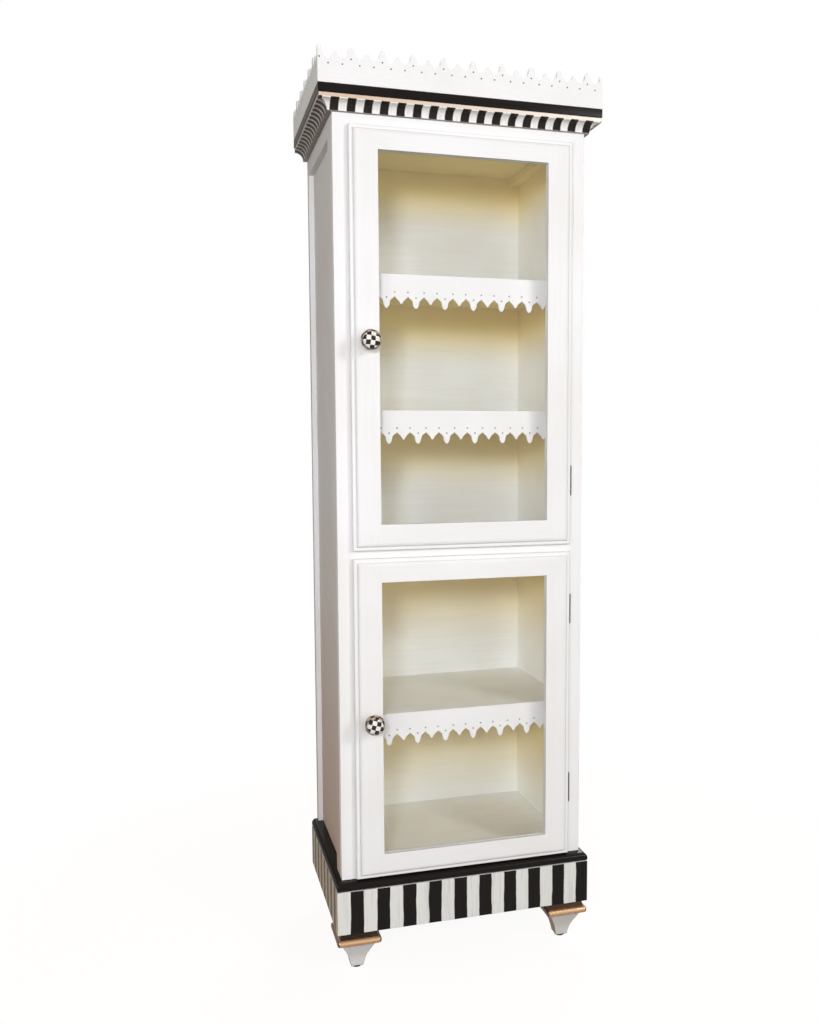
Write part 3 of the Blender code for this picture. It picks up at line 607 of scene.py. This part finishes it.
def cream_with_painted_shade(name):
    """Cream enamel inside the case, amber under each board as painted shade, where little light falls."""
    sizes, colours = chosen()
    made = brushed_enamel(name, tuple(colours.cream), linear("F1EFE6"), "across", roughness=0.45)
    tree, parts = reopened(made)
    tops = [(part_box(node)[0].z, sizes.painted_shade_depth * share) for node, share in PAINTED_SHADE_SHARES]
    low, high = tops[0][0] - tops[0][1], tops[-1][0] + PAINTED_SHADE_SPARE
    height = add_node(
        tree, "ShaderNodeMapRange", values={"From Min": low, "From Max": high}, links={"Value": parts[2]},
    )
    dim = add_node(tree, "ShaderNodeValToRGB", links={0: height.outputs[0]})
    dim.color_ramp.interpolation = "EASE"
    stops = dim.color_ramp.elements
    stops[0].color = stops[1].color = (0.0, 0.0, 0.0, 1.0)
    # Painted shade: full just under each board, fading out further down
    for top, reach in tops:
        full = FULL_PAINTED_SHADE_SHARE * reach
        for drop, level in ((reach, 0.0), (full, 1.0), (-PAINTED_SHADE_EDGE, 1.0), (-2 * PAINTED_SHADE_EDGE, 0.0)):
            stops.new((top - drop - low) / (high - low)).color = (level, level, level, 1.0)
    overlay(made, dim.outputs[0], tuple(colours.painted_shade_amber))
    return made


def side_enamel_with_painted_shade(name):
    """The flat white of the case's sides, with painted shade in umber, darker and warmer towards the plinth.
    """
    sizes, colours = chosen()
    made = brushed_enamel(
        name, tuple(colours.white), linear("EDE8E3"), "upright", roughness=0.66, gloss=0.25,
    )
    tree, parts = reopened(made)
    rubbed = add_node(
        tree, "ShaderNodeMapRange", SMOOTH,
        {"From Min": sizes.side_shade_foot, "From Max": sizes.side_shade_top, "To Min": 1.0, "To Max": 0.0},
        {"Value": parts[2]},
    )
    overlay(made, rubbed.outputs[0], tuple(colours.side_painted_shade))
    return made


def finish_named(name, make, *args, **options):
    """A finish that several pieces share, made once."""
    return bpy.data.materials.get(name) or make(name, *args, **options)


def white_enamel(lay="upright"):
    """The satin white of the fronts, with bristle lines along each board."""
    return finish_named(
        "brushed_white_enamel_" + lay, brushed_enamel, tuple(chosen()[1].white), linear("EAE9E6"), lay,
    )


def cream_enamel():
    """The warm cream of the inside, with painted shade in amber under each board."""
    return finish_named("yellowed_cream_enamel", cream_with_painted_shade)


def black_enamel(lay):
    """Black of the top board and ledge: glossy on their fronts, with a painted brown reflection on their
    sides.
    """
    paint, roughness, gloss, sheen = {
        "glossy": (tuple(chosen()[1].black), 0.20, 0.11, "FFFFFF"),
        "satin": (linear("1B1511"), 0.50, 0.05, "E8D8CC"),
        "rubbed": (linear("453A33"), 0.50, 0.08, "E8D8CC"),
    }[lay]
    return finish_named(
        lay + "_black_enamel", brushed_enamel, paint, scaled(paint, 1.4), "level", roughness=roughness,
        gloss=gloss, sheen=sheen,
    )


def black_nylon():
    """The dull black of the glides and the magnets."""
    return finish_named("moulded_nylon", moulded_plastic, linear("1C1B1A"))


# Pieces

# Where a tall tooth stands on each shelf's trim, along x
TRIM_TEETH = {1: -0.0359, 2: -0.0330, 3: -0.0384}

# Where the fillet's painted reflection starts to pale, as a share of the way from the middle to the left end
PAINTED_REFLECTION_START = 0.7

# How far a face's middle may lie from the edge of the surface that it belongs to
STRAY = 0.0004
BOARD_STRAY = 0.002

KNOB_CHECKS = {"upper": (-7, (0.19, 0.12)), "lower": (-15, (0.93, 0.60))}


def merged(node):
    """A bmesh of a CAD node with its loose triangles joined into whole faces."""
    bm = bmesh.new()
    bm.from_mesh(frame["nodes"][node].data)
    bmesh.ops.remove_doubles(bm, verts=bm.verts, dist=MERGE)
    bmesh.ops.dissolve_limit(bm, angle_limit=math.radians(FLAT), verts=bm.verts, edges=bm.edges)
    return bm


def ease(bm, width):
    """Rounds the sharp arrises."""
    limit = math.radians(ARRIS)
    arrises = [edge for edge in bm.edges if edge.is_manifold and edge.calc_face_angle(0) > limit]
    bmesh.ops.bevel(
        bm, geom=arrises, offset=width, offset_type="OFFSET", segments=ARRIS_STEPS, profile=0.5,
        affect="EDGES", clamp_overlap=True, material=-1, loop_slide=True,
    )


def body_of(node):
    for body, nodes in frame["record"]["behaviour"]["bodies"].items():
        if node in nodes:
            return body
    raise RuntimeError("no body holds " + node)


def dressed(node, work, finishes, edge=0.0, choose=None, smooth=35, joints=(), line=None):
    """A piece in the shape of one CAD node, with eased arrises and a finish for each kind of face.

    The piece is named for the node and the work done on it. joints are the upright lines, as places
    along x, where rails butt against stiles, and line the level at which one paint gives way to another.
    """
    bm = merged(node)
    if edge:
        ease(bm, edge)
    cuts = [((x, 0, 0), (1, 0, 0)) for x in joints]
    if line:
        cuts.append(((0, 0, line), (0, 0, 1)))
    for point, normal in cuts:
        bmesh.ops.bisect_plane(
            bm, geom=[*bm.verts, *bm.edges, *bm.faces], dist=MERGE, plane_co=point, plane_no=normal,
        )
    if choose:
        for face in bm.faces:
            face.material_index = choose(face.normal, face.calc_center_median())
    name = f"{node}_{work}"
    mesh = bpy.data.meshes.new(name)
    bm.to_mesh(mesh)
    bm.free()
    for finish in finishes:
        mesh.materials.append(finish)
    mesh.shade_smooth()
    mesh.set_sharp_from_angle(angle=math.radians(smooth))
    piece = bpy.data.objects.new(name, mesh)
    bpy.context.scene.collection.objects.link(piece)
    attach(piece, body_of(node))
    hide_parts(node)
    level = piece.modifiers.new("even_shading", "WEIGHTED_NORMAL")
    level.keep_sharp = True


def painted(node, finish, edge=0.0):
    """Keeps a CAD node whose shape is right, with its own finish and eased arrises."""
    obj = frame["nodes"][node]
    obj.data.materials.clear()
    obj.data.materials.append(finish)
    if edge:
        weld = obj.modifiers.new("join", "WELD")
        weld.merge_threshold = MERGE
        flat = obj.modifiers.new("whole_faces", "DECIMATE")
        flat.decimate_type = "DISSOLVE"
        flat.angle_limit = math.radians(FLAT)
        arris = obj.modifiers.new("ease", "BEVEL")
        arris.width = edge
        arris.segments = ARRIS_STEPS
        arris.limit_method = "ANGLE"
        arris.angle_limit = math.radians(ARRIS)


class CURIO_OT_carcase(bpy.types.Operator):
    """Paint the face frame, framed sides, back, floor, deck and top, white outside and cream inside"""

    bl_idname = "curio.carcase"
    bl_label = "Carcase"

    def execute(self, context):
        sizes = chosen()[0]
        edge = sizes.board_edge
        white, level, cream = white_enamel(), white_enamel("level"), cream_enamel()
        # The sides' white carries painted shade, darker and warmer towards the plinth
        flat = finish_named("toned_white_enamel_sides", side_enamel_with_painted_shade)
        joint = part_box("face_frame")[1].x - sizes.face_stile

        def face_side(normal, centre):
            if normal.y > SQUARE_ON:
                return 2
            return 0 if abs(centre.x) > joint else 1

        dressed(
            "face_frame", "painted", [white, level, cream], edge, face_side,
            joints=(-joint, joint),
        )
        for side, hand in (("left", -1), ("right", 1)):
            dressed(
                "side_frame_" + side, "painted", [flat, white], edge,
                lambda normal, centre: 1 if abs(normal.y) > FACING else 0,
            )
            dressed(
                "side_panel_" + side, "painted", [flat, cream], 0.0,
                lambda normal, centre, h=hand: 1 if normal.x * h < -FACING or abs(normal.z) > FACING else 0,
            )
            painted("top_cleat_" + side, cream, edge)
        for node in ("floor_panel", "mid_deck", "top_panel"):
            painted(node, cream, edge)
        dressed(
            "back_panel", "painted", [cream, white], 0.0,
            lambda normal, centre: 1 if normal.y > FACING else 0,
        )
        return {"FINISHED"}


class CURIO_OT_shelves(bpy.types.Operator):
    """Paint the three shelves and hang their dotted fretwork trims"""

    bl_idname = "curio.shelves"
    bl_label = "Shelves and trims"

    def execute(self, context):
        sizes = chosen()[0]
        for number, first in TRIM_TEETH.items():
            painted(f"shelf_{number}", cream_enamel(), sizes.board_edge)
            node = f"shelf_trim_{number}"
            finish = dotted_enamel(f"dotted_white_enamel_trim_{number}", 0, first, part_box(node)[1].z, True)
            dressed(node, "painted", [finish], sizes.fret_edge)
        return {"FINISHED"}


class CURIO_OT_crown(bpy.types.Operator):
    """Paint the fretted crown boards, with a row of dark dots over the teeth"""

    bl_idname = "curio.crown"
    bl_label = "Crown"

    def execute(self, context):
        sizes = chosen()[0]
        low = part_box("crown_fret_front")[0]
        for side, along, end in (("front", 0, low.x), ("left", 1, low.y), ("right", 1, low.y)):
            finish = dotted_enamel(
                f"dotted_white_enamel_{side}", along, end + sizes.crown_tooth, low.z, False,
            )
            dressed("crown_fret_" + side, "painted", [finish], sizes.fret_edge)
        return {"FINISHED"}


class CURIO_OT_cornice(bpy.types.Operator):
    """Paint the black top board and the striped cove mouldings with their gold fillet"""

    bl_idname = "curio.cornice"
    bl_label = "Cornice"

    def execute(self, context):
        sizes, colours = chosen()
        # The top board's sides are a lighter umber with a brown-tinted sheen: painted reflection
        dressed(
            "cornice_board", "painted", [black_enamel("glossy"), black_enamel("rubbed")],
            sizes.top_board_edge, lambda normal, centre: 1 if abs(normal.x) > FACING else 0,
        )
        low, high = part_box("cornice_moulding_front")
        line = high.z - sizes.fillet

        def member(normal, centre):
            if centre.z < low.z + sizes.lip:
                return 2
            return 1 if centre.z > line else 0

        fillet = finish_named("pale_gold_paint", gold_with_painted_reflection, PAINTED_REFLECTION_START * low.x, high.x)
        # Painted shade: the side coves' fillets take a darker bronze than the front's pale gold
        shaded_fillet = finish_named(
            "bronze_fillet_paint", leafed_gold, linear("94806F"), linear("6E5A4C"), metallic=0.05,
            roughness=0.45,
        )
        lip = finish_named(
            "bronze_paint", leafed_gold, tuple(colours.lip), linear("5C5048"), metallic=0.1, roughness=0.45,
        )
        front = striped_enamel(
            "striped_enamel_cove_front", tuple(colours.cove_white), linear("221E1B"), 0, sizes.cove_first,
            sizes.cove_period, dark_share=0.52,
        )
        coves = {"front": (front, fillet)}
        for hand, steps in (("left", 0.0), ("right", 0.5)):
            cove = striped_enamel(
                "striped_enamel_cove_" + hand, linear("D8D2C8"), linear("2A1D14"), 1,
                low.y + sizes.cove_side_first + steps * sizes.cove_side_period, sizes.cove_side_period,
                dark_share=0.64, wobble=0.003, roughness=0.5,
            )
            coves[hand] = (cove, shaded_fillet)
        for hand, (cove, band) in coves.items():
            dressed(
                "cornice_moulding_" + hand, "painted", [cove, band, lip], 0.0, member,
                smooth=25, line=line,
            )
        return {"FINISHED"}


class CURIO_OT_plinth(bpy.types.Operator):
    """Paint the striped plinth and its nosed black ledge"""

    bl_idname = "curio.plinth"
    bl_label = "Plinth"

    def execute(self, context):
        sizes, colours = chosen()
        low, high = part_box("plinth_frame")
        front = striped_enamel(
            "striped_enamel_front", tuple(colours.stripe_white), tuple(colours.stripe_black), 0,
            low.x + 1.5 * sizes.plinth_stripe, 2 * sizes.plinth_stripe,
        )
        # Side stripes: partly their own tan and brown, partly painted shade
        side = striped_enamel(
            "striped_enamel_side", tuple(colours.stripe_tan), tuple(colours.stripe_brown), 1,
            low.y + 1.5 * sizes.side_stripe, 2 * sizes.side_stripe, roughness=0.5,
        )
        # Bare wood inside the plinth gives the eye fine, straight grain lines along the boards
        raw = finish_named(
            "bare_poplar", brushed_enamel, linear("B99A70"), linear("97794F"), "grain", roughness=0.6,
        )

        def face(normal, centre):
            if normal.z > UPWARD:
                return 3
            outside = (
                abs(centre.x) > high.x - BOARD_STRAY
                or not low.y + BOARD_STRAY <= centre.y <= high.y - BOARD_STRAY
            )
            if not outside:
                return 2
            return 1 if abs(normal.x) > SQUARE_ON else 0

        dressed(
            "plinth_frame", "painted", [front, side, raw, white_enamel("level")],
            sizes.board_edge, face,
        )
        # The ledge's nosing sides take a brown-tinted sheen: painted reflection
        dressed(
            "plinth_top", "painted", [black_enamel("glossy"), black_enamel("satin")], 0.0,
            lambda normal, centre: 1 if abs(normal.x) > NOSING_FACING else 0, smooth=40,
        )
        return {"FINISHED"}


class CURIO_OT_feet(bpy.types.Operator):
    """Paint the four feet: gold plates, umber necks, white legs and dark glides"""

    bl_idname = "curio.feet"
    bl_label = "Feet"

    def execute(self, context):
        sizes, colours = chosen()
        # Gold plates with a painted highlight along their nosing
        gold = finish_named("rubbed_gold_paint", gold_with_painted_highlight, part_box("foot_cap_front_left")[0].z)
        # Painted shade: a darker, browner gold on the sides of the plates
        shaded = finish_named(
            "umber_toned_gold_paint", leafed_gold, linear("5A412C"), linear("3A2819"), metallic=0.30,
            roughness=0.40,
        )
        # Dark umber on the necks, streaked with brown: partly their own paint, partly painted shade under
        # the plinth. Nearly dull white on the legs, with painted shade, darker and browner on their sides
        umber = finish_named(
            "umber_wash", brushed_enamel, tuple(colours.umber), linear("4A3626"), "neck", roughness=0.30,
            gloss=0.12,
        )
        rubbed, shade_toned = (
            finish_named(
                name, brushed_enamel, linear(paint), linear(tone), "leg", roughness=0.60, gloss=0.20,
            )
            for name, paint, tone in (
                ("rubbed_white_enamel", "E4E4E1", "D9D7D1"),
                ("umber_toned_white_enamel", "CDBBA6", "BDA88F"),
            )
        )
        for corner in ("front_left", "front_right", "rear_left", "rear_right"):
            low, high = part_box("foot_cap_" + corner)
            middle, half = (low + high) / 2, (high.x - low.x) / 2
            top, flat = low.z + sizes.plate, half - sizes.plate_round

            def part(normal, centre, middle=middle, top=top, flat=flat):
                across, ahead = abs(centre.x - middle.x), abs(centre.y - middle.y)
                if centre.z > top - STRAY and max(across, ahead) < flat + STRAY:
                    return 1
                return 2 if abs(normal.x) > NOSING_FACING and across > flat - 2 * STRAY else 0

            dressed(
                "foot_cap_" + corner, "gilded", [gold, umber, shaded], 0.0, part, smooth=50,
            )
            dressed(
                "foot_leg_" + corner, "painted", [rubbed, shade_toned], 0.0,
                lambda normal, centre: 1 if abs(normal.x) > abs(normal.y) else 0, smooth=50,
            )
            painted("foot_glide_" + corner, black_nylon(), sizes.small_edge)
        return {"FINISHED"}


class CURIO_OT_doors(bpy.types.Operator):
    """Paint the moulded door frames and their beads, and set the glass"""

    bl_idname = "curio.doors"
    bl_label = "Doors and glass"

    def execute(self, context):
        sizes = chosen()[0]
        white, level = white_enamel(), white_enamel("level")
        glass = finish_named("float_glass", float_glass)
        for door in ("upper", "lower"):
            low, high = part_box(door + "_door_frame")
            joints = (low.x + sizes.door_stile, high.x - sizes.door_stile)
            dressed(
                door + "_door_frame", "painted", [white, level], sizes.small_edge,
                lambda normal, centre, between=joints: 1 if between[0] < centre.x < between[1] else 0,
                smooth=30, joints=joints,
            )
            painted(door + "_glass_bead", white, sizes.small_edge)
            painted(door + "_door_glass", glass)
        return {"FINISHED"}


class CURIO_OT_knobs(bpy.types.Operator):
    """Turn and glaze the checked ceramic knobs on their brass ferrules"""

    bl_idname = "curio.knobs"
    bl_label = "Knobs"

    def execute(self, context):
        colours = chosen()[1]
        brass = finish_named(
            "aged_brass", turned_metal, tuple(colours.brass), linear("6B4E26"), roughness=0.26,
        )
        for door, (lean, shift) in KNOB_CHECKS.items():
            low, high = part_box(door + "_knob")
            middle = tuple((low + high) / 2)
            glaze = checked_glaze(f"checked_glaze_{door}", middle, math.radians(lean), shift)
            dressed(door + "_knob", "glazed", [glaze], smooth=60)
            dressed(door + "_knob_ferrule", "turned", [brass], smooth=50)
        return {"FINISHED"}


class CURIO_OT_hardware(bpy.types.Operator):
    """Finish the butt hinges, one painted over, the strike plates and the magnetic catches"""

    bl_idname = "curio.hardware"
    bl_label = "Hinges and catches"

    def execute(self, context):
        sizes, colours = chosen()
        bronze = finish_named(
            "bronzed_steel", turned_metal, tuple(colours.bronze), linear("8A7A66"), roughness=0.36,
        )
        for door in ("upper", "lower"):
            for end in ("top", "bottom"):
                over = white_enamel() if (door, end) == ("upper", "top") else bronze
                for leaf in ("frame_leaf", "door_leaf"):
                    painted(f"{door}_{end}_hinge_{leaf}", over, sizes.metal_edge)
            painted(door + "_catch_strike", bronze, sizes.metal_edge)
            painted(door + "_catch_magnet", black_nylon(), sizes.small_edge)
        return {"FINISHED"}


# Stage

# Each lamp's place, width, strength and tint, and whether it glints in gloss and glass. A wide fill lamp
# stands for light from the room, and has no glint.
LAMPS = {
    "key_lamp_left": ((-1.20, -3.05, 1.72), 0.50, 0.42, "E8EEFF", True),
    "key_lamp_right": ((2.70, -4.00, 2.90), 1.20, 0.27, "FFFFFF", True),
    "left_fill_lamp": ((-2.60, -3.20, 1.15), 2.00, 0.22, "FFF8EC", False),
    "low_fill_lamp": ((1.40, -4.40, 0.90), 2.40, 0.20, "FFFDF8", False),
    "back_lamp": ((1.60, 3.00, 2.60), 1.60, 0.40, "FFFFFF", True),
}
LAMP_AIM = Vector((0.0, 0.0, 1.0))
FILL_TINT = "FFF1DC"

# The floor: its reach, its own dark paint under the backdrop's glow, and where its shadows fade out
FLOOR_RADIUS = 9.0
FLOOR_STEPS = 64
FLOOR_PAINT = (0.13, 0.10, 0.08, 1.0)
FLOOR_GLOW = 0.93
SHADOW_FADE = (0.7, 1.5)

# The camera: where it stands, how far it turns right, down and over in degrees, and its lens
CAMERA_PLACE = (-0.6357, -2.2094, 1.2057)
CAMERA_TURNS = (15.599, 4.7605, -0.262)
CAMERA_SENSOR = 36.0
CAMERA_LENS = 33.272
CAMERA_SHIFT = (-0.02704, 0.010625)


def seen(tree):
    """Is 1 where the camera sees the surface, straight, mirrored or through glass, and 0 for fill light."""
    path = add_node(tree, "ShaderNodeLightPath")
    shown = path.outputs["Is Camera Ray"]
    for ray in ("Is Glossy Ray", "Is Transmission Ray"):
        shown = add_node(
            tree, "ShaderNodeMath", {"operation": "MAXIMUM"}, links={0: shown, 1: path.outputs[ray]},
        ).outputs[0]
    return shown


def light_world(scene):
    """A backdrop that the camera sees as its own colour, and that gives weak warm light from all round."""
    sizes, colours = chosen()
    world = bpy.data.worlds.new("pale_backdrop")
    scene.world = world
    world.use_nodes = True
    tree = world.node_tree
    tree.nodes.clear()
    sky = add_node(
        tree, "ShaderNodeMix", RGBA,
        {6: scaled(linear(FILL_TINT), sizes.fill), 7: tuple(colours.backdrop)}, {0: seen(tree)},
    )
    fill = add_node(tree, "ShaderNodeBackground", links={"Color": sky.outputs[2]})
    add_node(tree, "ShaderNodeOutputWorld", links={"Surface": fill.outputs[0]})


def floor_finish(backdrop):
    """A matt floor that the camera sees as pale as the backdrop, with the object's shadow on it."""
    made = bpy.data.materials.new("matt_white_floor")
    made.use_nodes = True
    tree = made.node_tree
    tree.nodes.clear()
    shown = seen(tree)
    matt = add_node(tree, "ShaderNodeBsdfDiffuse", values={"Color": FLOOR_PAINT})
    glow = add_node(tree, "ShaderNodeMath", {"operation": "MULTIPLY"}, {1: FLOOR_GLOW}, {0: shown})
    near = add_node(
        tree, "ShaderNodeEmission", values={"Color": backdrop}, links={"Strength": glow.outputs[0]},
    )
    both = add_node(tree, "ShaderNodeAddShader", links={0: matt.outputs[0], 1: near.outputs[0]})
    place = add_node(tree, "ShaderNodeTexCoord").outputs["Object"]
    away = add_node(tree, "ShaderNodeVectorMath", {"operation": "LENGTH"}, links={0: place})
    faded = add_node(
        tree, "ShaderNodeMapRange", SMOOTH,
        {"From Min": SHADOW_FADE[0], "From Max": SHADOW_FADE[1]}, {"Value": away.outputs["Value"]},
    )
    far = add_node(tree, "ShaderNodeMath", {"operation": "MULTIPLY"}, links={0: faded.outputs[0], 1: shown})
    plain = add_node(tree, "ShaderNodeEmission", values={"Color": backdrop})
    cover = add_node(
        tree, "ShaderNodeMixShader", links={0: far.outputs[0], 1: both.outputs[0], 2: plain.outputs[0]},
    )
    add_node(tree, "ShaderNodeOutputMaterial", links={"Surface": cover.outputs[0]})
    return made


def lay_floor(scene, finish):
    bm = bmesh.new()
    bmesh.ops.create_circle(bm, cap_ends=True, radius=FLOOR_RADIUS, segments=FLOOR_STEPS)
    mesh = bpy.data.meshes.new("floor")
    bm.to_mesh(mesh)
    bm.free()
    mesh.materials.append(finish)
    floor = bpy.data.objects.new("floor", mesh)
    scene.collection.objects.link(floor)


def hang_lamp(scene, name, place, width, strength, tint, glints):
    """A soft round lamp that gives a plain white board facing it the brightness strength."""
    light = bpy.data.lights.new(name, "AREA")
    light.shape = "DISK"
    light.size = width
    way = LAMP_AIM - Vector(place)
    light.energy = strength * math.pi ** 2 * way.length ** 2
    light.color = linear(tint)[:3]
    obj = bpy.data.objects.new(name, light)
    scene.collection.objects.link(obj)
    obj.location = place
    obj.rotation_euler = way.to_track_quat("-Z", "Y").to_euler()
    obj.visible_glossy = glints
    obj.visible_transmission = glints


def set_camera(scene):
    """The camera that took the photograph, as fitted to the cabinet's own lines."""
    yaw, pitch, roll = (math.radians(angle) for angle in CAMERA_TURNS)
    ahead = Vector((math.sin(yaw) * math.cos(pitch), math.cos(yaw) * math.cos(pitch), -math.sin(pitch)))
    level = Vector((math.cos(yaw), -math.sin(yaw), 0.0))
    upright = level.cross(ahead)
    right = level * math.cos(roll) + upright * math.sin(roll)
    up = upright * math.cos(roll) - level * math.sin(roll)
    data = bpy.data.cameras.new("camera")
    data.sensor_width = CAMERA_SENSOR
    data.lens = CAMERA_LENS
    data.shift_x, data.shift_y = CAMERA_SHIFT
    camera = bpy.data.objects.new("camera", data)
    scene.collection.objects.link(camera)
    turn = Matrix((right, up, -ahead)).transposed().to_4x4()
    camera.matrix_world = Matrix.Translation(CAMERA_PLACE) @ turn
    scene.camera = camera


class CURIO_OT_stage(bpy.types.Operator):
    """Lay the pale floor and backdrop, and set the lamps and the camera"""

    bl_idname = "curio.stage"
    bl_label = "Stage"

    def execute(self, context):
        scene = context.scene
        scene.view_settings.view_transform = "Standard"
        light_world(scene)
        lay_floor(scene, floor_finish(tuple(scene.curio_colours.backdrop)))
        for name, lamp in LAMPS.items():
            hang_lamp(scene, name, *lamp)
        set_camera(scene)
        return {"FINISHED"}


# Panel and registration

STEPS = (
    CURIO_OT_carcase, CURIO_OT_shelves, CURIO_OT_crown, CURIO_OT_cornice, CURIO_OT_plinth, CURIO_OT_feet,
    CURIO_OT_doors, CURIO_OT_knobs, CURIO_OT_hardware, CURIO_OT_stage,
)


class CURIO_PT_panel(bpy.types.Panel):
    bl_idname = "CURIO_PT_panel"
    bl_label = "Curio cabinet"
    bl_space_type = "VIEW_3D"
    bl_region_type = "UI"
    bl_category = "Curio"

    def draw(self, context):
        for step in STEPS:
            self.layout.operator(step.bl_idname)
        for group in (context.scene.curio_sizes, context.scene.curio_colours):
            box = self.layout.box()
            for name in group.__annotations__:
                box.prop(group, name)


CLASSES = (CurioSizes, CurioColours, *STEPS, CURIO_PT_panel)


def register():
    for item in CLASSES:
        bpy.utils.register_class(item)
    bpy.types.Scene.curio_sizes = bpy.props.PointerProperty(type=CurioSizes)
    bpy.types.Scene.curio_colours = bpy.props.PointerProperty(type=CurioColours)


def unregister():
    del bpy.types.Scene.curio_colours
    del bpy.types.Scene.curio_sizes
    for item in reversed(CLASSES):
        bpy.utils.unregister_class(item)


def main():
    register()
    for step in STEPS:
        group, name = step.bl_idname.split(".")
        getattr(getattr(bpy.ops, group), name)()


if __name__ == "__main__":
    main()
